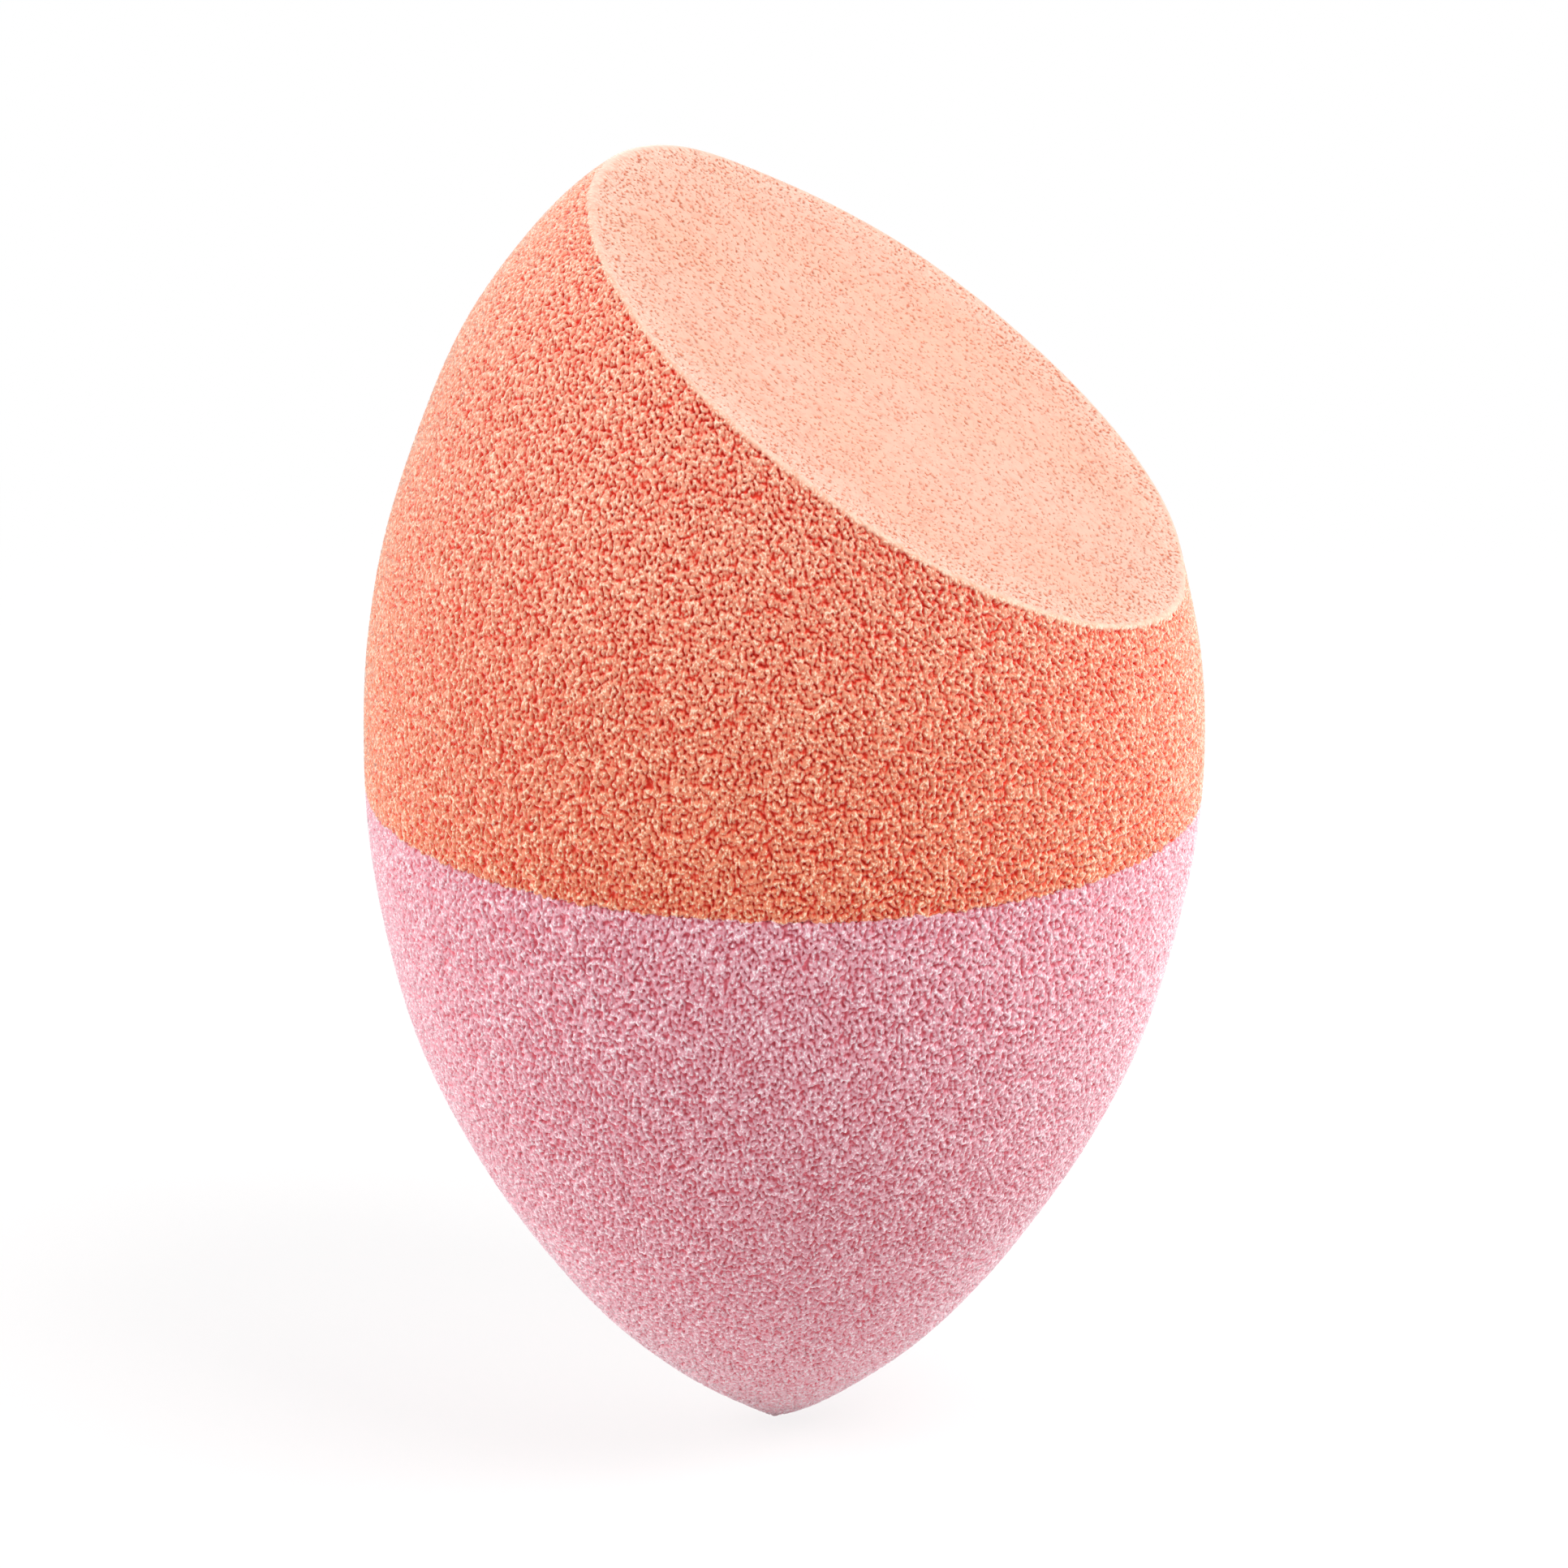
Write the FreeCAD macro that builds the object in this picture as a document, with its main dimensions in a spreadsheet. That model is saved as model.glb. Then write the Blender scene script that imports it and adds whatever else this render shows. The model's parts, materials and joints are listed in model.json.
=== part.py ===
"""Two-tone makeup sponge: two blocks of soft foam bonded face to face, ground to one lemon-shaped
blank and sliced once at a slant.

Frame: millimetres, +Z up along the sponge's axis, origin at the pointed tip. The slanted face runs
downhill towards +X, so the XZ plane is the sponge's mirror plane.
"""

import FreeCAD, Part
import math
import os
import Sketcher

# Driving dimensions: name, value and meaning. Lengths are in millimetres and angles in degrees.
SIZES = [
    ("max_diameter", "40", "diameter of the widest circle"),
    ("widest_height", "34.8", "height of the widest circle above the tip"),
    ("blank_height", "65.7", "tip to top of the ground blank, before it is sliced"),
    ("seam_height", "32.3", "height of the middle of the bond film above the tip"),
    ("film_thickness", "0.15", "thickness of the bond film"),
    ("slant_angle", "33.8", "slope of the slanted face from level"),
    ("slant_depth", "9.6", "depth of the slanted face below the blank's top, on the axis"),
    ("rim_radius", "0.35", "rounding of the slanted face's rim"),
    ("slice_overrun", "10", "how far each slice reaches past the blank"),
    ("tip_join_radius_share", "0.468", "join of tip and flank arcs, as a share of the widest radius"),
    ("tip_join_height_share", "0.202", "join of tip and flank arcs, as a share of widest_height"),
    ("crown_join_radius_share", "0.774", "join of shoulder and crown arcs, as a share of the widest radius"),
    ("crown_join_height_share", "0.633", "join of shoulder and crown arcs, as a share of the height above"),
]

# The same sizes worked out for the features, as expressions on the sheet.
WIDEST_RADIUS = "Sizes.max_diameter / 2"
TIP_JOIN_RADIUS = "Sizes.tip_join_radius_share * Sizes.max_diameter / 2"
TIP_JOIN_HEIGHT = "Sizes.tip_join_height_share * Sizes.widest_height"
CROWN_JOIN_RADIUS = "Sizes.crown_join_radius_share * Sizes.max_diameter / 2"
CROWN_JOIN_HEIGHT = (
    "Sizes.widest_height + Sizes.crown_join_height_share * (Sizes.blank_height - Sizes.widest_height)"
)
FILM_BOTTOM = "Sizes.seam_height - Sizes.film_thickness / 2"
FILM_TOP = "Sizes.seam_height + Sizes.film_thickness / 2"
SLANT_HEIGHT = "Sizes.blank_height - Sizes.slant_depth"
SLICE_WIDTH = "Sizes.max_diameter + 2 * Sizes.slice_overrun"
SLICE_DEPTH = "Sizes.blank_height + Sizes.slice_overrun"

# Sketcher numbers a sketch's own axes downwards from -1, and the points of a curve upwards from 1.
HORIZONTAL_AXIS, VERTICAL_AXIS = range(-1, -3, -1)
START, END, CENTRE = range(1, 4)

SKETCH_NORMAL = FreeCAD.Vector(0, 0, 1)

# An edge lies in the slanted plane if so many points along it do, to this share of the blank's height.
PLANE_TEST_POINTS = 5
PLANE_TOLERANCE_SHARE = 1e-6


def make_sheet(doc):
    """The spreadsheet of driving dimensions, with one named cell for each."""
    sheet = doc.addObject("Spreadsheet::Sheet", "Sizes")
    for row, (name, value, meaning) in enumerate(SIZES, start=1):
        sheet.set(f"A{row}", meaning)
        sheet.set(f"B{row}", value)
        sheet.setAlias(f"B{row}", name)
    doc.recompute()


def value_of(owner, expression):
    """What an expression on the sheet gives now, to draw a sketch at its right size."""
    return float(owner.evalExpression(expression))


def point_at(owner, across, up):
    """A sketch point at two expressions on the sheet."""
    return FreeCAD.Vector(value_of(owner, across), value_of(owner, up), 0)


def origin_plane(body, role):
    """One of the body's own origin planes."""
    return next(feature for feature in body.Origin.OriginFeatures if feature.Role == role)


def mirror_plane_sketch(body, name):
    """An empty sketch on the body's XZ plane: across is +X, up is +Z."""
    sketch = body.newObject("Sketcher::SketchObject", f"{body.Name}_{name}")
    sketch.AttachmentSupport = [(origin_plane(body, "XZ_Plane"), "")]
    sketch.MapMode = "FlatFace"
    return sketch


def bind(sketch, expression, kind, *where):
    """A sketch dimension whose value is an expression on the sheet, drawn at that value."""
    value = value_of(sketch, expression)
    drawn = math.radians(value) if kind == "Angle" else value
    index = sketch.addConstraint(Sketcher.Constraint(kind, *where, drawn))
    sketch.setExpression(f"Constraints[{index}]", expression)


def bind_point(sketch, curve, end, across, up):
    """Places one end of a curve at two expressions on the sheet."""
    bind(sketch, across, "DistanceX", HORIZONTAL_AXIS, START, curve, end)
    bind(sketch, up, "DistanceY", HORIZONTAL_AXIS, START, curve, end)


def bulge_centre(near, outward, far):
    """Centre of the circle through two points, from its outward direction at the first one."""
    chord = near - far
    radius = chord.dot(chord) / (2 * chord.dot(outward))
    return near - outward * radius


def add_arc(sketch, lower, upper, centre):
    """Draws the arc that climbs from the lower to the upper point about its centre."""
    circle = Part.Circle(centre, SKETCH_NORMAL, (lower - centre).Length)
    first, last = (math.atan2(end.y - centre.y, end.x - centre.x) for end in (lower, upper))
    return sketch.addGeometry(Part.ArcOfCircle(circle, first, last))


def draw_meridian(sketch):
    """Half the blank's outline: tip, flank, shoulder and crown arcs, each tangent to the next, closed
    along the axis. Flank and shoulder meet upright at the widest circle."""
    tip = FreeCAD.Vector(0, 0, 0)
    tip_join = point_at(sketch, TIP_JOIN_RADIUS, TIP_JOIN_HEIGHT)
    widest = point_at(sketch, WIDEST_RADIUS, "Sizes.widest_height")
    crown_join = point_at(sketch, CROWN_JOIN_RADIUS, CROWN_JOIN_HEIGHT)
    top = FreeCAD.Vector(0, value_of(sketch, "Sizes.blank_height"), 0)

    level = FreeCAD.Vector(1, 0, 0)
    flank_centre = bulge_centre(widest, level, tip_join)
    tip_centre = bulge_centre(tip_join, (tip_join - flank_centre).normalize(), tip)
    shoulder_centre = bulge_centre(widest, level, crown_join)
    crown_centre = bulge_centre(crown_join, (crown_join - shoulder_centre).normalize(), top)

    tip_arc = add_arc(sketch, tip, tip_join, tip_centre)
    flank = add_arc(sketch, tip_join, widest, flank_centre)
    shoulder = add_arc(sketch, widest, crown_join, shoulder_centre)
    crown = add_arc(sketch, crown_join, top, crown_centre)
    axis = sketch.addGeometry(Part.LineSegment(top, tip))

    for lower, upper in ((tip_arc, flank), (flank, shoulder), (shoulder, crown)):
        sketch.addConstraint(Sketcher.Constraint("Tangent", lower, END, upper, START))
    sketch.addConstraint(Sketcher.Constraint("Horizontal", flank, CENTRE, flank, END))
    sketch.addConstraint(Sketcher.Constraint("Coincident", crown, END, axis, START))
    sketch.addConstraint(Sketcher.Constraint("Coincident", axis, END, tip_arc, START))
    sketch.addConstraint(Sketcher.Constraint("Coincident", tip_arc, START, HORIZONTAL_AXIS, START))
    sketch.addConstraint(Sketcher.Constraint("PointOnObject", crown, END, VERTICAL_AXIS))
    bind_point(sketch, flank, START, TIP_JOIN_RADIUS, TIP_JOIN_HEIGHT)
    bind_point(sketch, shoulder, START, WIDEST_RADIUS, "Sizes.widest_height")
    bind_point(sketch, crown, START, CROWN_JOIN_RADIUS, CROWN_JOIN_HEIGHT)
    bind(sketch, "Sizes.blank_height", "DistanceY", HORIZONTAL_AXIS, START, crown, END)


def ground_blank(doc, name):
    """A new body that holds the whole lemon-shaped blank, turned about the axis."""
    body = doc.addObject("PartDesign::Body", name)
    body.Label = name
    sketch = mirror_plane_sketch(body, "meridian")
    draw_meridian(sketch)
    blank = body.newObject("PartDesign::Revolution", f"{name}_blank")
    blank.Profile = sketch
    blank.ReferenceAxis = (sketch, ["V_Axis"])
    blank.Angle = 360
    doc.recompute()
    return body


def slice_off(doc, body, name, height, above, slope=None):
    """Cuts away all that lies above, or below, a plane that crosses the axis at a height. A slope
    tilts the plane downhill towards +X; without one it is level."""
    sketch = mirror_plane_sketch(body, name)
    width, depth = value_of(sketch, SLICE_WIDTH), value_of(sketch, SLICE_DEPTH)
    tilt = math.radians(value_of(sketch, slope)) if slope else 0
    downhill = FreeCAD.Vector(math.cos(tilt), -math.sin(tilt), 0)
    away = FreeCAD.Vector(math.sin(tilt), math.cos(tilt), 0) * (1 if above else -1)
    pivot = FreeCAD.Vector(0, value_of(sketch, height), 0)
    near = pivot - downhill * width / 2
    far = pivot + downhill * width / 2
    corners = [near, far, far + away * depth, near + away * depth]

    edge, right, back, left = (
        sketch.addGeometry(Part.LineSegment(corners[side], corners[(side + 1) % len(corners)]))
        for side in range(len(corners))
    )
    for one, other in ((edge, right), (right, back), (back, left), (left, edge)):
        sketch.addConstraint(Sketcher.Constraint("Coincident", one, END, other, START))
    for one, other in ((edge, right), (right, back), (back, left)):
        sketch.addConstraint(Sketcher.Constraint("Perpendicular", one, other))
    crossing = sketch.addGeometry(Part.Point(pivot))
    sketch.addConstraint(Sketcher.Constraint("PointOnObject", crossing, START, VERTICAL_AXIS))
    sketch.addConstraint(Sketcher.Constraint("Symmetric", edge, START, edge, END, crossing, START))
    bind(sketch, height, "DistanceY", HORIZONTAL_AXIS, START, crossing, START)
    bind(sketch, SLICE_WIDTH, "Distance", edge)
    bind(sketch, SLICE_DEPTH, "Distance", right)
    if slope:
        bind(sketch, f"-({slope})", "Angle", edge)
    else:
        sketch.addConstraint(Sketcher.Constraint("Horizontal", edge))

    before = body.Shape.Volume
    pocket = body.newObject("PartDesign::Pocket", f"{body.Name}_{name}_slice")
    pocket.Profile = sketch
    pocket.SideType = "Symmetric"
    pocket.setExpression("Length", SLICE_WIDTH)
    doc.recompute()
    if not 0 < body.Shape.Volume < before:
        raise RuntimeError(f"{pocket.Name} removed nothing or everything")
    return pocket


def round_rim(doc, body, slant):
    """Rounds the rim of the slanted face: every edge that lies in its plane."""
    tilt = math.radians(value_of(body, "Sizes.slant_angle"))
    outward = FreeCAD.Vector(math.sin(tilt), 0, math.cos(tilt))
    on_axis = FreeCAD.Vector(0, 0, value_of(body, SLANT_HEIGHT))
    tolerance = PLANE_TOLERANCE_SHARE * value_of(body, "Sizes.blank_height")

    def lies_in_plane(edge):
        points = edge.discretize(PLANE_TEST_POINTS)
        return all(abs((point - on_axis).dot(outward)) < tolerance for point in points)

    names = [f"Edge{n}" for n, edge in enumerate(slant.Shape.Edges, start=1) if lies_in_plane(edge)]
    rim = body.newObject("PartDesign::Fillet", f"{body.Name}_rim")
    rim.Base = (slant, names)
    rim.setExpression("Radius", "Sizes.rim_radius")
    doc.recompute()


def tip_end_foam(doc):
    """The lower foam block, which runs down to the pointed tip."""
    body = ground_blank(doc, "tip_end_foam")
    slice_off(doc, body, "seam", FILM_BOTTOM, above=True)
    return body


def bond_film(doc):
    """The thin adhesive film between the two blocks, ground flush with them."""
    body = ground_blank(doc, "bond_film")
    slice_off(doc, body, "film_top", FILM_TOP, above=True)
    slice_off(doc, body, "film_bottom", FILM_BOTTOM, above=False)
    return body


def slant_end_foam(doc):
    """The upper foam block, with the slanted face that blends over large areas."""
    body = ground_blank(doc, "slant_end_foam")
    slice_off(doc, body, "seam", FILM_TOP, above=False)
    slant = slice_off(doc, body, "slant", SLANT_HEIGHT, above=True, slope="Sizes.slant_angle")
    round_rim(doc, body, slant)
    return body


def check_document(doc, pieces):
    """Stops if any object failed to compute, or a piece isn't one valid solid."""
    for thing in doc.Objects:
        if {"Invalid", "Error"} & set(thing.State):
            raise RuntimeError(f"{thing.Name} failed: {thing.State}")
    for piece in pieces:
        shape = piece.Shape
        if shape.isNull() or not shape.isValid() or len(shape.Solids) != 1:
            raise RuntimeError(f"{piece.Label} isn't one valid solid")


def main():
    """Builds the document and writes one STEP file for each piece."""
    doc = FreeCAD.newDocument("makeup_sponge")
    make_sheet(doc)
    pieces = [tip_end_foam(doc), bond_film(doc), slant_end_foam(doc)]
    doc.recompute()
    check_document(doc, pieces)
    os.makedirs("parts", exist_ok=True)
    for piece in pieces:
        piece.Shape.exportStep(f"parts/{piece.Label}.step")
        box = piece.Shape.BoundBox
        print(f"{piece.Label}: {piece.Shape.Volume:.1f} mm3, z {box.ZMin:.3f} to {box.ZMax:.3f}")


main()
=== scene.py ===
"""Looks of the two-tone makeup sponge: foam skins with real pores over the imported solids, the smooth
slanted slice with its pale rim, and a soft white studio. All in metres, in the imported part's frame."""

import json
import math

import bpy
import numpy as np
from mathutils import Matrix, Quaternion, Vector


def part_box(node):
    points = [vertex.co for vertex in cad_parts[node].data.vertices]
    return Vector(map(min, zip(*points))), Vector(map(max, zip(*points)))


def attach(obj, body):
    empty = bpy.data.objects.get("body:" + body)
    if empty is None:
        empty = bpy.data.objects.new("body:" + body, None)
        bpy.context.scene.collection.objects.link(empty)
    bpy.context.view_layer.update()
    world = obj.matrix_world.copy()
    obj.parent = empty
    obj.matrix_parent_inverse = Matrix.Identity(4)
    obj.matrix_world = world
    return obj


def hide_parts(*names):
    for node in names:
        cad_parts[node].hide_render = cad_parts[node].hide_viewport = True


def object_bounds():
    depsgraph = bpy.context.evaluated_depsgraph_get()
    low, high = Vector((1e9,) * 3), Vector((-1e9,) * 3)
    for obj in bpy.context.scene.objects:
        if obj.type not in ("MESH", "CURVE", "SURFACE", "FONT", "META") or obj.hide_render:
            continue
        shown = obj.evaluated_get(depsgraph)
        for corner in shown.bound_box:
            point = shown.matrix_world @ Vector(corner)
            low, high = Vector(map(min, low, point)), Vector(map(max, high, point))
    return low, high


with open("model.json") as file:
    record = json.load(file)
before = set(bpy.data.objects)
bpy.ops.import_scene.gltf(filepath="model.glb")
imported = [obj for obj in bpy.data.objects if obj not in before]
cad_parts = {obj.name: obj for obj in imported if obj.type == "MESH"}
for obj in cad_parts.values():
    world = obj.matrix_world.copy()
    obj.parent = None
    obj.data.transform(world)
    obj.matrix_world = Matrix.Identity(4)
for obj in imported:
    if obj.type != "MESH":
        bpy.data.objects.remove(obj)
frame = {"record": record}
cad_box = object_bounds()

MM = 0.001

# The blank's meridian, as the solids have it: widest circle, height before slicing, and the joins of
# its tip, flank, shoulder and crown arcs as shares of the widest radius and of the heights they part.
WIDEST_RADIUS = (cad_box[1].x - cad_box[0].x) / 2
WIDEST_HEIGHT = 34.8 * MM
BLANK_HEIGHT = 65.7 * MM
TIP_JOIN_SHARES = (0.468, 0.202)
CROWN_JOIN_SHARES = (0.774, 0.633)

# The bond film and the slanted slice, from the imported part.
FILM_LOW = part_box("bond_film")[0].z
FILM_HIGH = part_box("bond_film")[1].z
SEAM_HEIGHT = (FILM_LOW + FILM_HIGH) / 2
SLICE = next(mount for mount in frame["record"]["mounts"] if mount["name"] == "slanted_face")
SLICE_MIDDLE = np.array(SLICE["pos_m"])
SLICE_NORMAL = np.array(SLICE["axis"])

# Mesh: columns round the sponge, halved towards the poles where they crowd closer than said. The side
# of the slant end has more rows than its mean height asks for, because it is highest uphill. The rings
# of a hidden face shrink by a share from one to the next.
COLUMNS = 1536
FEWEST_COLUMNS = 10
ROW_STEP = 0.082 * MM
CROWDED_STEP = 0.058 * MM
UPHILL_ROWS = 1.15
RIM_ROWS = 6
RIM_REACH = 0.25 * MM
RIM_ACCURACY = 0.000001 * MM
HIDDEN_RING_SHARE = 0.6

# The flat discs that the meshes are laid out on in their UV map: centre and radius.
OUTER_DISC = ((0.5, 0.5), 0.495)
HIDDEN_DISC = ((0.07, 0.07), 0.065)
FILM_TOP_DISC = ((0.25, 0.5), 0.245)
FILM_UNDERSIDE_DISC = ((0.75, 0.5), 0.245)

# Pores. The foam's grain is noise about 0 and rarely past 3 either way, with so many lumps to a
# millimetre. Grinding takes off only its highest tops, slicing all but its deepest pores. The last two
# say how much closer the lumps lie along x, y and z: on the slice, and on the ground sides, where
# grinding draws them out along the axis.
NOISE_SPREAD = 0.13
GRAIN_LUMPS = 5.9
GRAIN_DETAIL = 1.0
GRAIN_ROUGHNESS = 0.3
GRAIN_DEPTH = 0.085 * MM
BUMP_SHARE = 0.15
GROUND_TOP = 0.8
SLICED_TOP = -0.5
SLICED_PATCHES = 0.08
PATCH_WIDTH = 3 * MM
SLICED_DEPTH_SHARE = 0.6
SLICED_GRAIN = np.array([1.2, 0.72, 1.2])
GROUND_GRAIN = np.array([1.09, 1.09, 0.78])

# The seam's waver, the lip of foam that closes over the bond film's edge, and that edge's waver.
SEAM_WAVER = 0.05 * MM
SEAM_WAVER_WIDTH = 0.3 * MM
LIP_DEPTH = 0.5 * MM
FILM_WAVER_SHARE = 0.002
FILM_WAVER_WIDTH = 2 * MM

# The rim of the slice: a line where the pores close, painted pale there as a highlight, a band inside it
# painted paler as a highlight, and a wider one where slicing opened more pores.
RIM_LINE = 0.16 * MM
RIM_CLOSING = 3.0
RIM_BAND = 2 * MM
RIM_OPENING = 0.3
OPEN_BAND = 5 * MM

# Slow unevenness all over, and where the foam stands out or is rubbed down: turn from the downhill
# side, height or None for on the rim, rise and reach.
SWELL_WIDTH = 8 * MM
SWELL_HEIGHT = 0.04 * MM
HIGH_LIP = (143, None, 0.52 * MM, 6.5 * MM)
FAR_RIM = (80, None, 0.2 * MM, 5 * MM)
DOWNHILL_FLANK = (16, 36.5 * MM, 0.22 * MM, 7 * MM)
DOWNHILL_RIM = (16, None, -0.25 * MM, 4.5 * MM)
TIP_UPHILL = (196, 1.3 * MM, -0.2 * MM, 3 * MM)
TIP_DOWNHILL = (16, 1.3 * MM, 0.16 * MM, 3 * MM)

# Colours of ground foam, body and pale fibres partly painted as a highlight, next to the seam and at the
# far end of the block, with the heights over which they turn. Then painted shade deep in its pores, and
# its sheen.
CORAL_BODY = ((0.815, 0.237, 0.12, 1), (0.835, 0.34, 0.217, 1))
CORAL_FIBRE_HIGHLIGHT = ((1.0, 0.68, 0.47, 1), (1.0, 0.67, 0.5, 1))
CORAL_TURN = (SEAM_HEIGHT - 4 * MM, SEAM_HEIGHT + 26 * MM)
CORAL_PORE_SHADE = (0.78, 0.03, 0.007, 1)
CORAL_SHEEN = (1, 0.89, 0.82, 1)
PINK_BODY = ((0.805, 0.38, 0.448, 1), (0.92, 0.53, 0.59, 1))
PINK_FIBRE_HIGHLIGHT = ((0.99, 0.79, 0.83, 1), (1.0, 0.87, 0.9, 1))
PINK_TURN = (0.0, 12 * MM)
PINK_PORE_SHADE = (0.74, 0.121, 0.167, 1)
PINK_SHEEN = (1, 0.92, 0.96, 1)

# Colours of the slice and its rim: painted shade in its pits, and the band inside the rim and the rim
# line painted paler as highlights, with how strong those highlights are at most.
SLICE_BLUSH = ((0.71, 0.358, 0.236, 1), (0.72, 0.373, 0.262, 1))
SLICE_MOTTLE = (0.69, 0.292, 0.186, 1)
SLICE_PIT_SHADE = (0.6, 0.15, 0.07, 1)
RIM_BAND_HIGHLIGHT = (0.8, 0.53, 0.42, 1)
RIM_BAND_HIGHLIGHT_SHARE = 0.9
RIM_LINE_HIGHLIGHT = (0.83, 0.617, 0.475, 1)
RIM_LINE_HIGHLIGHT_SHARE = 0.55

# Colours of the adhesive, clear and cloudy, and its roughness where clear and added by cloud.
ADHESIVE_COLOURS = ((0.72, 0.32, 0.28, 1), (0.78, 0.4, 0.36, 1))
CLEAR_ROUGHNESS = 0.3
CLOUD_ROUGHNESS = 0.3

# How deep a pore is, counted as the grain is, over which a colour turns: into the painted shade in the
# pores of ground foam, off the pale fibres and painted highlight on its tops, and into the painted shade
# in the pits of the slice.
PORE_SHADE_DEPTHS = (0.4, 2.2)
FIBRE_HIGHLIGHT_DEPTHS = (0.0, 0.75)
PIT_SHADE_DEPTHS = (0.0, 1.3)

# Patches of colour: lumps to a millimetre, detail, and the noise from which they show and are full.
# Pale fibres on the tops, partly the foam's own and partly a painted highlight:
FIBRE_HIGHLIGHT_PATCHES = (9.0, 0.0, -0.3, 1.3)
BLUSH_PATCHES = (0.12, 2.0, -1.0, 1.0)
MOTTLE_PATCHES = (1.7, 2.0, -0.4, 1.4)
# Where the band inside the rim is painted paler, as a highlight:
RIM_BAND_HIGHLIGHT_PATCHES = (6.0, 1.0, -0.8, 1.4)
# Where the rim line is painted pale, as a highlight:
RIM_LINE_HIGHLIGHT_PATCHES = (2.2, 1.0, -1.2, 1.0)
CLOUD_PATCHES = (0.6, 3.0, -1.5, 1.5)

# The studio: light from all round, and the floor's half width, the grey that lights the sponge from
# below, the grey and the glow that it is seen with, and how far from the sponge that turns white.
WHITE = (1, 1, 1, 1)
AMBIENT = 0.156
FLOOR_HALF = 3.0
FLOOR_BOUNCE = (0.8, 0.8, 0.8, 1)
FLOOR_SHADE = (0.22, 0.22, 0.22, 1)
FLOOR_GLOW = 0.78
SHADOW_REACH = (40 * MM, 160 * MM)

# Lamps: turn from the sponge's front and rise from level in degrees, width, height and power.
LAMP_DISTANCE = 0.5
LAMPS = {
    "left_panel": (-70, 22, 0.6, 0.45, 3.06),
    "right_panel": (128, 14, 0.6, 0.35, 2.46),
    "key_softbox": (70, 55, 0.3, 0.3, 2.16),
}

# The camera, fitted to the photograph: turn, rise and roll in degrees, its distance from a pivot on the
# axis, how far right of it and above it the aim is, and sensor and lens in a camera's millimetres.
CAMERA_TURN = 15.94
CAMERA_RISE = 18.73
CAMERA_ROLL = 0.733
CAMERA_DISTANCE = 600 * MM
PIVOT_HEIGHT = 30 * MM
AIM_RIGHT = 0.126 * MM
AIM_UP = 2.28 * MM
SENSOR_WIDTH = 36
LENS = 288.2
NEAREST_SEEN = 0.01
FARTHEST_SEEN = 20

# Columns of a row of skin points.
PLACE, OUTWARD, SLICED, INSET, SHOWN = slice(0, 3), slice(3, 6), 6, 7, 8


def bulge_centre(near, outward, far):
    """Centre of the circle through two points, from its outward direction at the first one."""
    chord = near - far
    return near - outward * (chord @ chord) / (2 * chord @ outward)


class Meridian:
    """The blank's outline as four tangent arcs, measured along its length from the tip."""

    def __init__(self):
        tip = np.zeros(2)
        tip_join = np.array([TIP_JOIN_SHARES[0] * WIDEST_RADIUS, TIP_JOIN_SHARES[1] * WIDEST_HEIGHT])
        widest = np.array([WIDEST_RADIUS, WIDEST_HEIGHT])
        above = BLANK_HEIGHT - WIDEST_HEIGHT
        crown_join = np.array(
            [CROWN_JOIN_SHARES[0] * WIDEST_RADIUS, WIDEST_HEIGHT + CROWN_JOIN_SHARES[1] * above]
        )
        top = np.array([0, BLANK_HEIGHT])
        level = np.array([1, 0])
        flank = bulge_centre(widest, level, tip_join)
        tip_end = bulge_centre(tip_join, (tip_join - flank) / np.linalg.norm(tip_join - flank), tip)
        shoulder = bulge_centre(widest, level, crown_join)
        lean = (crown_join - shoulder) / np.linalg.norm(crown_join - shoulder)
        crown = bulge_centre(crown_join, lean, top)
        self.centres = np.array([tip_end, flank, shoulder, crown])
        joins = np.array([tip, tip_join, widest, crown_join, top])
        self.radii = np.linalg.norm(joins[1:] - self.centres, axis=1)
        starts, ends = joins[:-1] - self.centres, joins[1:] - self.centres
        self.first = np.arctan2(starts[:, 1], starts[:, 0])
        self.last = np.arctan2(ends[:, 1], ends[:, 0])
        self.joins = np.concatenate([[0], np.cumsum(self.radii * (self.last - self.first))])
        self.heights = joins[:, 1]

    def at(self, length):
        """Radius, height and outward direction at a length along the outline."""
        arc = np.clip(np.searchsorted(self.joins, length, side="right") - 1, 0, 3)
        angle = self.first[arc] + (length - self.joins[arc]) / self.radii[arc]
        outward = np.stack([np.cos(angle), np.sin(angle)], -1)
        place = self.centres[arc] + self.radii[arc][..., None] * outward
        return place[..., 0], place[..., 1], outward

    def length_at(self, height):
        """The length along the outline at which it reaches a height."""
        arc = np.clip(np.searchsorted(self.heights, height, side="right") - 1, 0, 3)
        angle = np.arcsin((height - self.centres[arc, 1]) / self.radii[arc])
        return self.joins[arc] + self.radii[arc] * (angle - self.first[arc])


MERIDIAN = Meridian()
TURNS = np.arange(COLUMNS) * 2 * math.pi / COLUMNS
AROUND = np.stack([np.cos(TURNS), np.sin(TURNS)], -1)


class Socket:
    """A node's output, so that maths on it can be written as an expression."""

    def __init__(self, nodes, output):
        self.nodes, self.output = nodes, output

    def maths(self, operation, *values):
        return self.nodes.node("ShaderNodeMath", dict(enumerate(values)), operation=operation)

    def __add__(self, other):
        return self.maths("ADD", self, other)

    def __sub__(self, other):
        return self.maths("SUBTRACT", self, other)

    def __rsub__(self, other):
        return self.maths("SUBTRACT", other, self)

    def __mul__(self, other):
        return self.maths("MULTIPLY", self, other)

    __radd__ = __add__
    __rmul__ = __mul__


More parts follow.
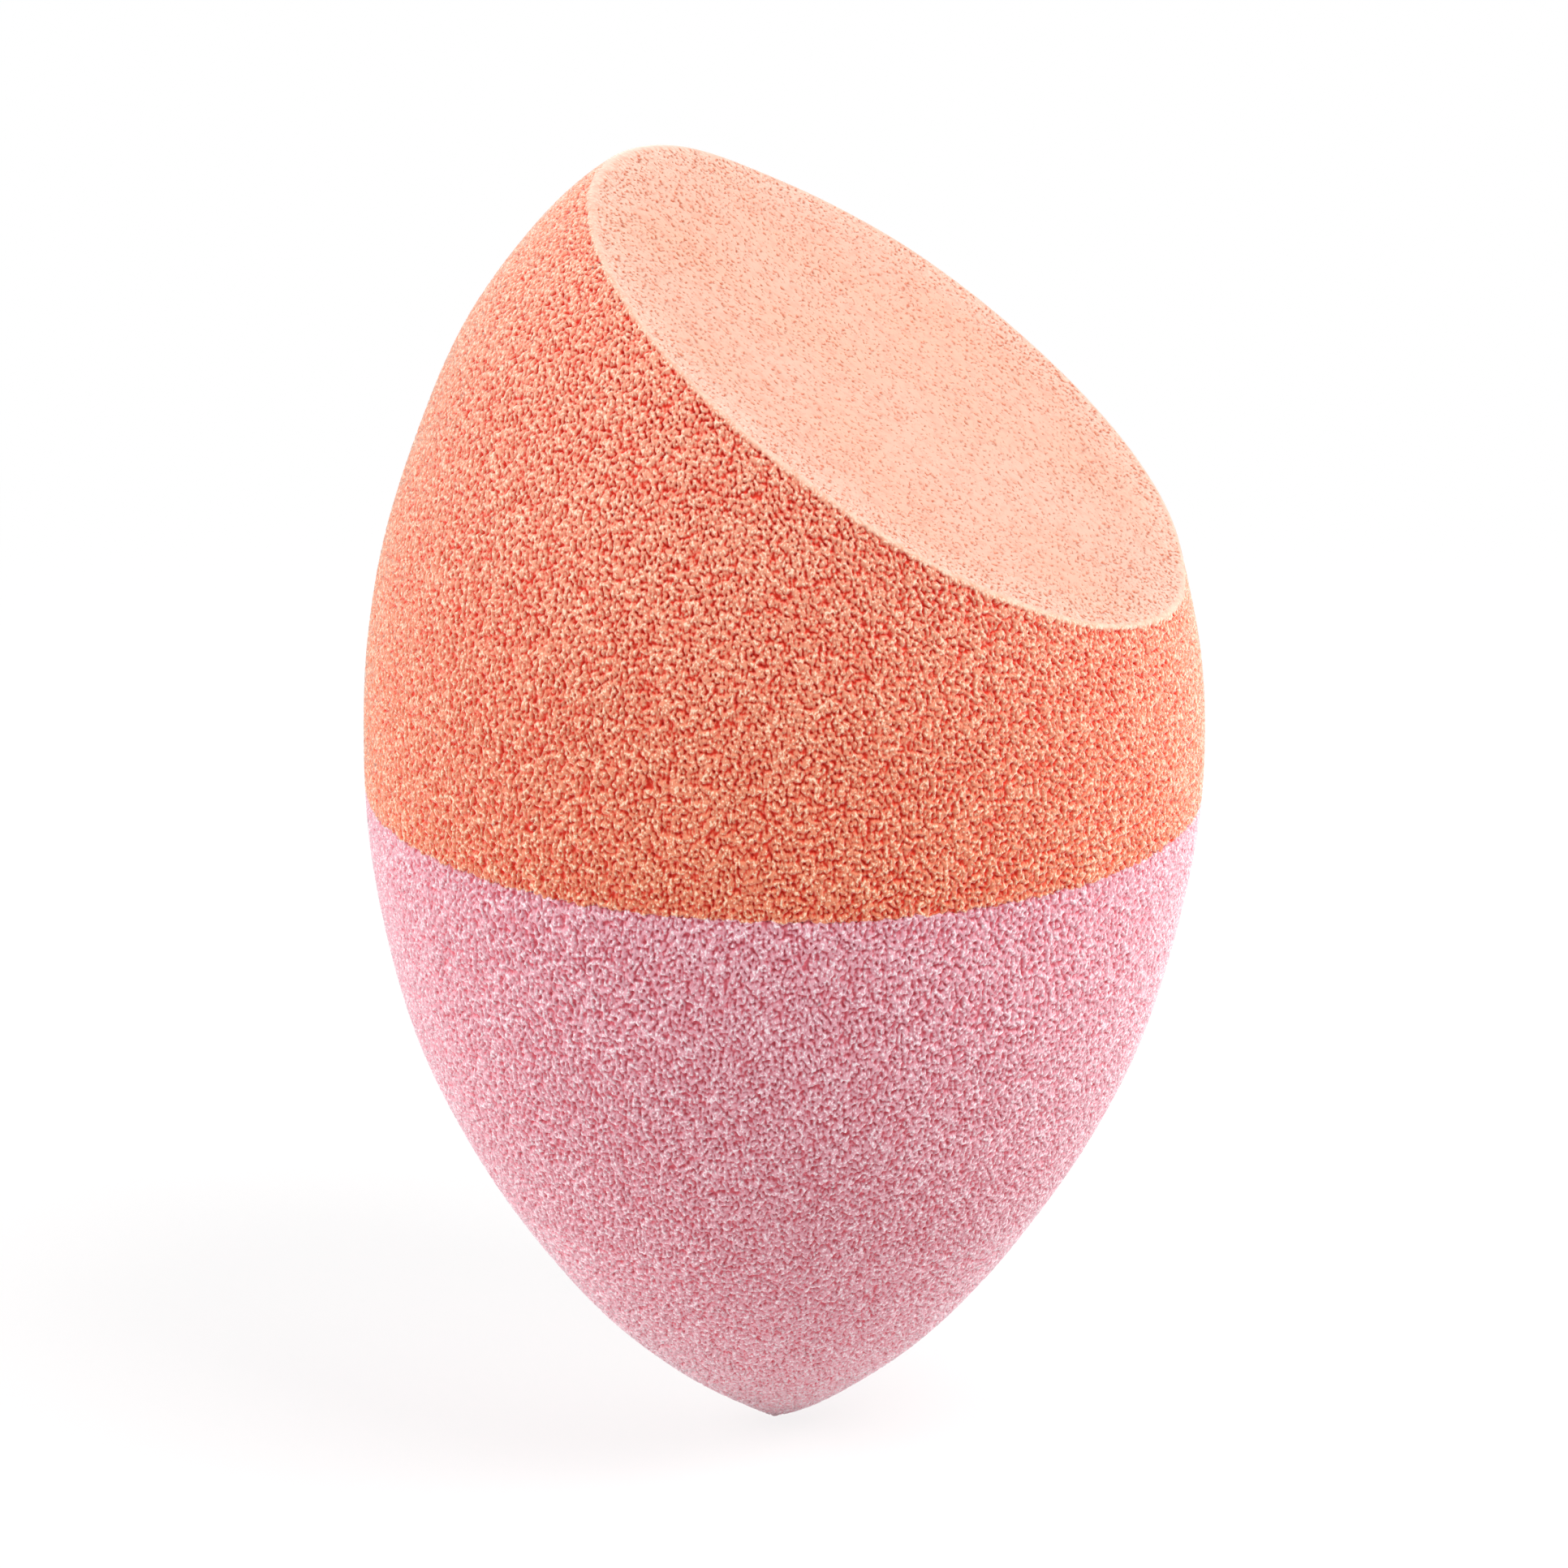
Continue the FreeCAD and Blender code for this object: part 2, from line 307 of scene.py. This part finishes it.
class Nodes:
    """A tree of nodes."""

    def __init__(self, tree):
        self.tree = tree
        tree.nodes.clear()

    def node(self, kind, inputs=None, output=0, **settings):
        """Adds a node: its settings first, then values or links for its sockets."""
        made = self.tree.nodes.new(kind)
        for name, value in settings.items():
            setattr(made, name, value)
        for name, value in (inputs or {}).items():
            if isinstance(value, Socket):
                self.tree.links.new(value.output, made.inputs[name])
            else:
                made.inputs[name].default_value = value
        return Socket(self, made.outputs[output]) if made.outputs else None

    def noise(self, place, lumps, detail=0.0, roughness=0.5):
        """Noise about 0 and rarely past 3 either way, with so many lumps to a millimetre."""
        inputs = {"Vector": place, "Scale": lumps / MM, "Detail": detail, "Roughness": roughness}
        return (self.node("ShaderNodeTexNoise", inputs) - 0.5) * (1 / NOISE_SPREAD)

    def grain(self, place):
        """The foam's grain, which the skins' shape and finish share."""
        return self.noise(place, GRAIN_LUMPS, GRAIN_DETAIL, GRAIN_ROUGHNESS)

    def patches(self, place, lumps, detail, low, high):
        """Patches of noise: 0 where it is low, 1 where it is high."""
        return self.climb(self.noise(place, lumps, detail), low, high)

    def mix(self, share, first, second):
        """One colour turning into another."""
        colours = {0: share, 6: first, 7: second}
        return self.node("ShaderNodeMix", colours, output=2, data_type="RGBA")

    def climb(self, value, low, high):
        """A smooth step from 0 to 1 as a value climbs from low to high."""
        limits = {"Value": value, "From Min": low, "From Max": high}
        return self.node("ShaderNodeMapRange", limits, interpolation_type="SMOOTHSTEP")

    def stored(self, name, output="Fac"):
        """What the mesh stores at its points under a name."""
        return self.node("ShaderNodeAttribute", output=output, attribute_name=name)

    def height(self):
        """Height above the tip, before the foam swells and its pores sink."""
        place = self.stored("blank_place", "Vector")
        return self.node("ShaderNodeSeparateXYZ", {"Vector": place}, output="Z")


class Finish(Nodes):
    """A material and its nodes."""

    def __init__(self, name):
        self.material = bpy.data.materials.new(name)
        self.material.use_nodes = True
        super().__init__(self.material.node_tree)

    def show(self, shader):
        """Puts a shader on the surface."""
        self.node("ShaderNodeOutputMaterial", {"Surface": shader})
        return self.material


def link(made):
    """Puts an object in the scene."""
    bpy.context.scene.collection.objects.link(made)
    return made


def values_at(places, recipe):
    """What a recipe for nodes gives at places, as the finishes would have it there."""
    group = bpy.data.node_groups.new("values_at", "GeometryNodeTree")
    for way in ("INPUT", "OUTPUT"):
        group.interface.new_socket("Geometry", in_out=way, socket_type="NodeSocketGeometry")
    nodes = Nodes(group)
    value = recipe(nodes, nodes.node("GeometryNodeInputPosition"))
    inputs = {"Geometry": nodes.node("NodeGroupInput"), "Name": "value", "Value": value}
    filled = nodes.node("GeometryNodeStoreNamedAttribute", inputs, data_type="FLOAT")
    nodes.node("NodeGroupOutput", {"Geometry": filled})
    mesh = bpy.data.meshes.new("values_at")
    mesh.vertices.add(len(places))
    mesh.vertices.foreach_set("co", places.astype(np.float32).ravel())
    carrier = link(bpy.data.objects.new("values_at", mesh))
    carrier.modifiers.new("values_at", "NODES").node_group = group
    done = carrier.evaluated_get(bpy.context.evaluated_depsgraph_get()).data
    values = np.empty(len(places), np.float32)
    done.attributes["value"].data.foreach_get("value", values)
    bpy.data.objects.remove(carrier)
    bpy.data.meshes.remove(mesh)
    bpy.data.node_groups.remove(group)
    return values


def noise_field(places, width):
    """Plain noise at places, with lumps about so wide."""
    return values_at(places, lambda nodes, place: nodes.noise(place, MM / width))


def skin_row(places, outward, sliced=0.0, inset=-WIDEST_RADIUS, shown=1.0):
    """One row of skin points: where they are, how far each is sliced and its way in from the rim."""
    count = len(places)
    shares = [np.broadcast_to(share, count) for share in (sliced, inset, shown)]
    return np.column_stack([places, np.broadcast_to(outward, (count, 3)), *shares])


def around_blank(length):
    """Places and outward directions on the blank at a length along its outline, in each column."""
    radius, height, outward = MERIDIAN.at(length)
    places = np.column_stack([AROUND * radius[:, None], height])
    return places, np.column_stack([AROUND * outward[:, :1], outward[:, 1]])


def level_line(height):
    """Length along the outline at a height, in each column."""
    return MERIDIAN.length_at(np.full(COLUMNS, height))


def seam_line():
    """Length along the outline where the two foams meet, in each column, with a waver of one pore."""
    level = level_line(SEAM_HEIGHT)
    return level + SEAM_WAVER * noise_field(around_blank(level)[0], SEAM_WAVER_WIDTH)


def rim_line():
    """Length along the outline where the blank meets the slice, in each column."""
    low, high = np.zeros(COLUMNS), np.full(COLUMNS, MERIDIAN.joins[-1])
    while (high - low).max() > RIM_ACCURACY:
        middle = (low + high) / 2
        below = (around_blank(middle)[0] - SLICE_MIDDLE) @ SLICE_NORMAL < 0
        low, high = np.where(below, middle, low), np.where(below, high, middle)
    return low


class Skin:
    """A closed mesh of rings round the sponge's axis: an equator, and a cap on each side of it."""

    def __init__(self, equator):
        self.rows = [equator]
        self.count = len(equator)
        self.corners, self.sizes, self.spots = [], [], []

    def add(self, row):
        """Adds points, and gives their numbers in the mesh."""
        numbers = self.count + np.arange(len(row))
        self.rows.append(row)
        self.count += len(row)
        return numbers

    def between(self, ring, inner):
        """Faces from a ring to the next one in, which has as many points or half as many."""
        after = np.roll(inner, -1)
        if len(ring) == len(inner):
            return [np.column_stack([ring, np.roll(ring, -1), after, inner])]
        even, odd, next_even = ring[::2], ring[1::2], np.roll(ring, -2)[::2]
        fans = ((even, odd, inner), (odd, after, inner), (odd, next_even, after))
        return [np.column_stack(fan) for fan in fans]

    def cap(self, rows, pole, flip, centre, reach):
        """Covers one side of the equator to a pole, laid out flat as a disc in the UV map."""
        ring, stride = np.arange(COLUMNS), 1
        faces, rings = [], [(ring, 1.0, stride)]
        for number, row in enumerate(rows, 1):
            step = np.linalg.norm(np.diff(row[::stride, PLACE], axis=0), axis=1).mean()
            if step < CROWDED_STEP and len(ring) > FEWEST_COLUMNS:
                stride *= 2
            inner = self.add(row[::stride])
            faces += self.between(ring, inner)
            ring = inner
            rings.append((ring, 1 - number / (len(rows) + 1), stride))
        end = self.add(pole)
        faces.append(np.column_stack([ring, np.roll(ring, -1), np.repeat(end, len(ring))]))
        rings.append((end, 0.0, COLUMNS))
        flat = np.empty((self.count, 2))
        for numbers, share, stride in rings:
            flat[numbers] = np.array(centre) + reach * share * AROUND[::stride]
        for corners in faces:
            turned = corners[:, ::-1] if flip else corners
            self.corners.append(turned.ravel())
            self.sizes.append(np.full(len(turned), turned.shape[1]))
            self.spots.append(flat[turned.ravel()])

    def piece(self, name, material, places, stored):
        """The mesh object, with values or places stored at its points for its material."""
        corners, sizes = np.concatenate(self.corners), np.concatenate(self.sizes)
        mesh = bpy.data.meshes.new(name)
        mesh.vertices.add(len(places))
        mesh.vertices.foreach_set("co", places.astype(np.float32).ravel())
        mesh.loops.add(len(corners))
        mesh.loops.foreach_set("vertex_index", corners.astype(np.int32))
        mesh.polygons.add(len(sizes))
        mesh.polygons.foreach_set("loop_start", (np.cumsum(sizes) - sizes).astype(np.int32))
        mesh.update(calc_edges=True)
        mesh.shade_smooth()
        flat = mesh.uv_layers.new(name="OFBake")
        flat.uv.foreach_set("vector", np.concatenate(self.spots).astype(np.float32).ravel())
        for kept, values in stored.items():
            kind, member = ("FLOAT", "value") if values.ndim == 1 else ("FLOAT_VECTOR", "vector")
            layer = mesh.attributes.new(kept, kind, "POINT")
            layer.data.foreach_set(member, values.astype(np.float32).ravel())
        mesh.materials.append(material)
        return link(bpy.data.objects.new(name, mesh))


def seam_face(height, facing):
    """Rows and pole of a block's flat face at the seam, inside the lip that hides the film's edge."""
    outward = (0, 0, facing)
    radius = MERIDIAN.at(level_line(height))[0][0] - LIP_DEPTH
    rows = []
    while radius > ROW_STEP:
        places = np.column_stack([AROUND * radius, np.full(COLUMNS, height)])
        rows.append(skin_row(places, outward, shown=0.0))
        radius *= HIDDEN_RING_SHARE
    return rows, skin_row(np.array([[0, 0, height]]), outward, shown=0.0)


def hump(places, turn, height, rise, reach):
    """A smooth rise about a place on the blank, given by its turn and by its height or the rim."""
    lengths = rim_line() if height is None else level_line(height)
    middle = around_blank(lengths)[0][round(math.radians(turn) / TURNS[1])]
    return rise * np.exp(-(((places - middle) / reach) ** 2).sum(axis=1))


def foam_piece(name, skin, material):
    """Swells a foam skin, sinks its pores, and makes the piece."""
    rows = np.concatenate(skin.rows)
    places, sliced, inset = rows[:, PLACE], rows[:, SLICED], rows[:, INSET]
    high_lip = hump(places, *HIGH_LIP)
    swelling = SWELL_HEIGHT * noise_field(places, SWELL_WIDTH) + high_lip
    for uneven in (FAR_RIM, DOWNHILL_FLANK, DOWNHILL_RIM, TIP_UPHILL, TIP_DOWNHILL):
        swelling += hump(places, *uneven)
    on_rim = np.exp(-((inset / RIM_LINE) ** 2))
    opened = RIM_OPENING * np.exp(-((inset / OPEN_BAND) ** 2))
    sliced_top = SLICED_TOP + SLICED_PATCHES * noise_field(places, PATCH_WIDTH) + opened
    top = GROUND_TOP + (sliced_top - GROUND_TOP) * sliced - RIM_CLOSING * on_rim
    grain_place = places * np.where(sliced[:, None] > 0.5, SLICED_GRAIN, GROUND_GRAIN)
    pore = np.maximum(top - values_at(grain_place, Nodes.grain), 0)
    move = swelling - GRAIN_DEPTH * pore * (1 + (SLICED_DEPTH_SHARE - 1) * sliced)
    moved = places + rows[:, OUTWARD] * (move * rows[:, SHOWN])[:, None]
    stored = {"blank_place": places, "grain_place": grain_place, "top": top, "sliced": sliced}
    # The rim line and the band inside the rim, which the finish paints paler as highlights.
    stored["rim_line"] = on_rim * (1 - high_lip / HIGH_LIP[2])
    stored["rim_band"] = np.exp(-((inset / RIM_BAND) ** 2))
    return skin.piece(name, material, moved, stored)


def tip_end_foam(material):
    """The lower block: from the seam down the flank to the tip, and across its hidden seam face."""
    seam = seam_line()
    skin = Skin(skin_row(*around_blank(seam)))
    count = round(seam.mean() / ROW_STEP)
    rows = [skin_row(*around_blank(seam * (1 - row / count))) for row in range(1, count)]
    skin.cap(rows, skin_row(np.zeros((1, 3)), (0, 0, -1)), True, *OUTER_DISC)
    skin.cap(*seam_face(FILM_LOW, 1), False, *HIDDEN_DISC)
    return foam_piece("tip_end_foam_skin", skin, material)


def slant_end_foam(material):
    """The upper block: from the seam up the side, over the rim and across the slice."""
    seam, rim = seam_line(), rim_line()
    skin = Skin(skin_row(*around_blank(seam)))
    side_top = rim - RIM_REACH
    count = round(UPHILL_ROWS * (side_top - seam).mean() / ROW_STEP)
    rows = []
    for row in range(1, count + 1):
        length = seam + (side_top - seam) * row / count
        rows.append(skin_row(*around_blank(length), inset=length - rim))
    corner, side_outward = around_blank(rim)
    inward = SLICE_MIDDLE - corner
    inward /= np.linalg.norm(inward, axis=1)[:, None]
    below, inside = rows[-1][:, PLACE], corner + inward * RIM_REACH
    for row in range(1, RIM_ROWS + 1):
        share = row / RIM_ROWS
        places = below * (1 - share) ** 2 + corner * 2 * share * (1 - share) + inside * share**2
        outward = side_outward * (1 - share) + SLICE_NORMAL * share
        outward /= np.linalg.norm(outward, axis=1)[:, None]
        inset = RIM_REACH * (2 * share - 1)
        rows.append(skin_row(places, outward, sliced=share, inset=inset))
    radius = np.linalg.norm(inside - SLICE_MIDDLE, axis=1)
    count = round(radius.mean() / ROW_STEP)
    for row in range(1, count):
        places = inside + (SLICE_MIDDLE - inside) * row / count
        inset = RIM_REACH + radius * row / count
        rows.append(skin_row(places, SLICE_NORMAL, sliced=1.0, inset=inset))
    pole = skin_row(SLICE_MIDDLE[None], SLICE_NORMAL, sliced=1.0, inset=radius.mean())
    skin.cap(rows, pole, False, *OUTER_DISC)
    skin.cap(*seam_face(FILM_HIGH, -1), True, *HIDDEN_DISC)
    return foam_piece("slant_end_foam_skin", skin, material)


def bond_film(material):
    """The adhesive film between the blocks, with an uneven edge just inside the foam's lip."""
    radius = MERIDIAN.at(level_line(SEAM_HEIGHT))[0][0] - LIP_DEPTH
    circle = np.column_stack([AROUND * radius, np.full(COLUMNS, SEAM_HEIGHT)])
    waver = FILM_WAVER_SHARE * (noise_field(circle, FILM_WAVER_WIDTH) - 1)
    edge = circle * (1 + waver)[:, None]
    edge[:, 2] = SEAM_HEIGHT
    skin = Skin(skin_row(edge, np.column_stack([AROUND, 0 * TURNS])))
    for height, facing, disc in ((FILM_HIGH, 1, FILM_TOP_DISC), (FILM_LOW, -1, FILM_UNDERSIDE_DISC)):
        rows, pole = seam_face(height, facing)
        skin.cap(rows[1:], pole, facing < 0, *disc)
    return skin.piece("bond_film_sheet", material, np.concatenate(skin.rows)[:, PLACE], {})


def pores(finish):
    """How deep the pores are, from 0 on the ground or sliced top of the foam."""
    grain = finish.grain(finish.stored("grain_place", "Vector"))
    return grain.maths("MAXIMUM", finish.stored("top") - grain, 0.0)


def foam_shader(finish, pore, colour, sheen):
    """Matt foam with crisp pores and a pale sheen at glancing angles."""
    inputs = {"Distance": GRAIN_DEPTH * BUMP_SHARE, "Height": pore * -1}
    bump = finish.node("ShaderNodeBump", inputs)
    inputs = {
        "Base Color": colour,
        "Roughness": 0.9,
        "Specular IOR Level": 0.15,
        "Sheen Weight": 1.0,
        "Sheen Roughness": 0.5,
        "Sheen Tint": sheen,
        "Normal": bump,
    }
    return finish.node("ShaderNodeBsdfPrincipled", inputs)


def ground_colour(finish, pore, pore_shade, body, fibre_highlight):
    """Colour of ground foam: the body, darker into its pores as painted shade, with pale fibres on the
    tops, partly the foam's own and partly a painted highlight.
    """
    # Painted shade: the colour turns darker and deeper into the pores.
    pore_shade_share = finish.climb(pore, *PORE_SHADE_DEPTHS)
    # Pale fibres on the tops, partly the foam's own and partly a painted highlight.
    fibres_and_glints = finish.patches(finish.stored("grain_place", "Vector"), *FIBRE_HIGHLIGHT_PATCHES)
    fibre_highlight_share = fibres_and_glints * (1 - finish.climb(pore, *FIBRE_HIGHLIGHT_DEPTHS))
    return finish.mix(fibre_highlight_share, finish.mix(pore_shade_share, body, pore_shade), fibre_highlight)


def pink_foam():
    """Ground pink foam of the tip end, paler at the point."""
    finish = Finish("pink_ground_foam")
    pore = pores(finish)
    point = 1 - finish.climb(finish.height(), *PINK_TURN)
    body = finish.mix(point, *PINK_BODY)
    fibre_highlight = finish.mix(point, *PINK_FIBRE_HIGHLIGHT)
    colour = ground_colour(finish, pore, PINK_PORE_SHADE, body, fibre_highlight)
    return finish.show(foam_shader(finish, pore, colour, PINK_SHEEN))


def coral_foam():
    """Ground coral foam of the slant end, deeper towards the seam, with its paler pitted slice."""
    finish = Finish("coral_ground_and_sliced_foam")
    place = finish.stored("blank_place", "Vector")
    pore = pores(finish)
    faded = finish.climb(finish.height(), *CORAL_TURN)
    body = finish.mix(faded, *CORAL_BODY)
    fibre_highlight = finish.mix(faded, *CORAL_FIBRE_HIGHLIGHT)
    ground = ground_colour(finish, pore, CORAL_PORE_SHADE, body, fibre_highlight)
    smooth = finish.mix(finish.patches(place, *BLUSH_PATCHES), *SLICE_BLUSH)
    mottled = finish.mix(finish.patches(place, *MOTTLE_PATCHES), smooth, SLICE_MOTTLE)
    # The band inside the rim, painted paler as a highlight.
    pale = finish.stored("rim_band") * finish.patches(place, *RIM_BAND_HIGHLIGHT_PATCHES) * RIM_BAND_HIGHLIGHT_SHARE
    band_highlighted = finish.mix(pale, mottled, RIM_BAND_HIGHLIGHT)
    # Painted shade in the slice's pits.
    pitted = finish.mix(finish.climb(pore, *PIT_SHADE_DEPTHS), band_highlighted, SLICE_PIT_SHADE)
    colour = finish.mix(finish.stored("sliced"), ground, pitted)
    # The rim line, painted pale as a highlight.
    rim = finish.stored("rim_line") * finish.patches(place, *RIM_LINE_HIGHLIGHT_PATCHES) * RIM_LINE_HIGHLIGHT_SHARE
    rimmed = finish.mix(rim, colour, RIM_LINE_HIGHLIGHT)
    return finish.show(foam_shader(finish, pore, rimmed, CORAL_SHEEN))


def bond_adhesive():
    """Cured flexible adhesive, cloudy and a little tacky."""
    finish = Finish("bond_adhesive")
    place = finish.node("ShaderNodeTexCoord", output="Object")
    cloud = finish.patches(place, *CLOUD_PATCHES)
    colour = finish.mix(cloud, *ADHESIVE_COLOURS)
    inputs = {"Base Color": colour, "Roughness": cloud * CLOUD_ROUGHNESS + CLEAR_ROUGHNESS}
    return finish.show(finish.node("ShaderNodeBsdfPrincipled", inputs))


def seen_directly(finish):
    """1 for rays that show the background to the viewer, also by way of gloss or glass."""
    names = ("Is Camera Ray", "Is Glossy Ray", "Is Transmission Ray")
    camera, gloss, glass = (finish.node("ShaderNodeLightPath", output=name) for name in names)
    return camera.maths("MAXIMUM", camera.maths("MAXIMUM", camera, gloss), glass)


def pale_floor():
    """A pale floor that looks white, keeps the sponge's shadow and is clear from below."""
    finish = Finish("pale_floor")
    bounce = finish.node("ShaderNodeBsdfDiffuse", {"Color": FLOOR_BOUNCE})
    shaded = finish.node("ShaderNodeBsdfDiffuse", {"Color": FLOOR_SHADE})
    glow = finish.node("ShaderNodeEmission", {"Color": WHITE, "Strength": FLOOR_GLOW})
    lit = finish.node("ShaderNodeAddShader", {0: shaded, 1: glow})
    white = finish.node("ShaderNodeEmission", {"Color": WHITE, "Strength": 1.0})
    place = finish.node("ShaderNodeTexCoord", output="Object")
    away = finish.node("ShaderNodeVectorMath", {0: place}, output="Value", operation="LENGTH")
    seen = finish.node("ShaderNodeMixShader", {0: finish.climb(away, *SHADOW_REACH), 1: lit, 2: white})
    shader = finish.node("ShaderNodeMixShader", {0: seen_directly(finish), 1: bounce, 2: seen})
    clear = finish.node("ShaderNodeBsdfTransparent")
    behind = finish.node("ShaderNodeNewGeometry", output="Backfacing")
    material = finish.show(finish.node("ShaderNodeMixShader", {0: behind, 1: shader, 2: clear}))
    mesh = bpy.data.meshes.new("studio_floor")
    ways = ((-1, -1), (1, -1), (1, 1), (-1, 1))
    mesh.from_pydata([(FLOOR_HALF * x, FLOOR_HALF * y, 0) for x, y in ways], [], [(0, 1, 2, 3)])
    mesh.materials.append(material)
    link(bpy.data.objects.new("studio_floor", mesh))


def studio_air():
    """White surroundings for the viewer, and soft light from all round for the sponge."""
    world = bpy.data.worlds.new("studio_air")
    bpy.context.scene.world = world
    world.use_nodes = True
    finish = Nodes(world.node_tree)
    ambient = finish.node("ShaderNodeBackground", {"Color": WHITE, "Strength": AMBIENT})
    white = finish.node("ShaderNodeBackground", {"Color": WHITE, "Strength": 1.0})
    shader = finish.node("ShaderNodeMixShader", {0: seen_directly(finish), 1: ambient, 2: white})
    finish.node("ShaderNodeOutputWorld", {"Surface": shader})


def bearing(turn, rise):
    """Direction from the sponge at a turn from its front and a rise from level, in degrees."""
    turn, rise = math.radians(turn), math.radians(rise)
    return Vector((math.sin(turn) * math.cos(rise), -math.cos(turn) * math.cos(rise), math.sin(rise)))


def stand(name, data, place, facing):
    """Puts a lamp or camera at a place, turned by a quaternion."""
    made = link(bpy.data.objects.new(name, data))
    made.location = place
    made.rotation_mode = "QUATERNION"
    made.rotation_quaternion = facing
    return made


def softbox(name, turn, rise, wide, tall, power):
    """A flat soft lamp that faces the sponge at its seam."""
    lamp = bpy.data.lights.new(name, "AREA")
    lamp.shape = "RECTANGLE"
    lamp.size, lamp.size_y = wide, tall
    lamp.energy = power
    back = bearing(turn, rise)
    place = Vector((0, 0, SEAM_HEIGHT)) + back * LAMP_DISTANCE
    stand(name, lamp, place, back.to_track_quat("Z", "Y"))


def photo_camera():
    """The view of the photograph: a little from above, turned towards the downhill side."""
    pivot = Vector((0, 0, PIVOT_HEIGHT))
    back = bearing(CAMERA_TURN, CAMERA_RISE)
    right = bearing(CAMERA_TURN + 90, 0)
    eye = pivot + back * CAMERA_DISTANCE
    aim = pivot + right * AIM_RIGHT + back.cross(right) * AIM_UP
    roll = Quaternion((0, 0, 1), math.radians(CAMERA_ROLL))
    data = bpy.data.cameras.new("photo_camera")
    data.sensor_width = SENSOR_WIDTH
    data.lens = LENS
    data.clip_start, data.clip_end = NEAREST_SEEN, FARTHEST_SEEN
    facing = (aim - eye).to_track_quat("-Z", "Y") @ roll
    bpy.context.scene.camera = stand("photo_camera", data, eye, facing)


def dress(piece, node):
    """Puts a piece in its node's place on the sponge."""
    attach(piece, "root")
    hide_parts(node)
    return piece


dress(slant_end_foam(coral_foam()), "slant_end_foam")
dress(tip_end_foam(pink_foam()), "tip_end_foam")
dress(bond_film(bond_adhesive()), "bond_film")

pale_floor()
studio_air()
for lamp_name, setting in LAMPS.items():
    softbox(lamp_name, *setting)
photo_camera()
bpy.context.scene.view_settings.view_transform = "Standard"
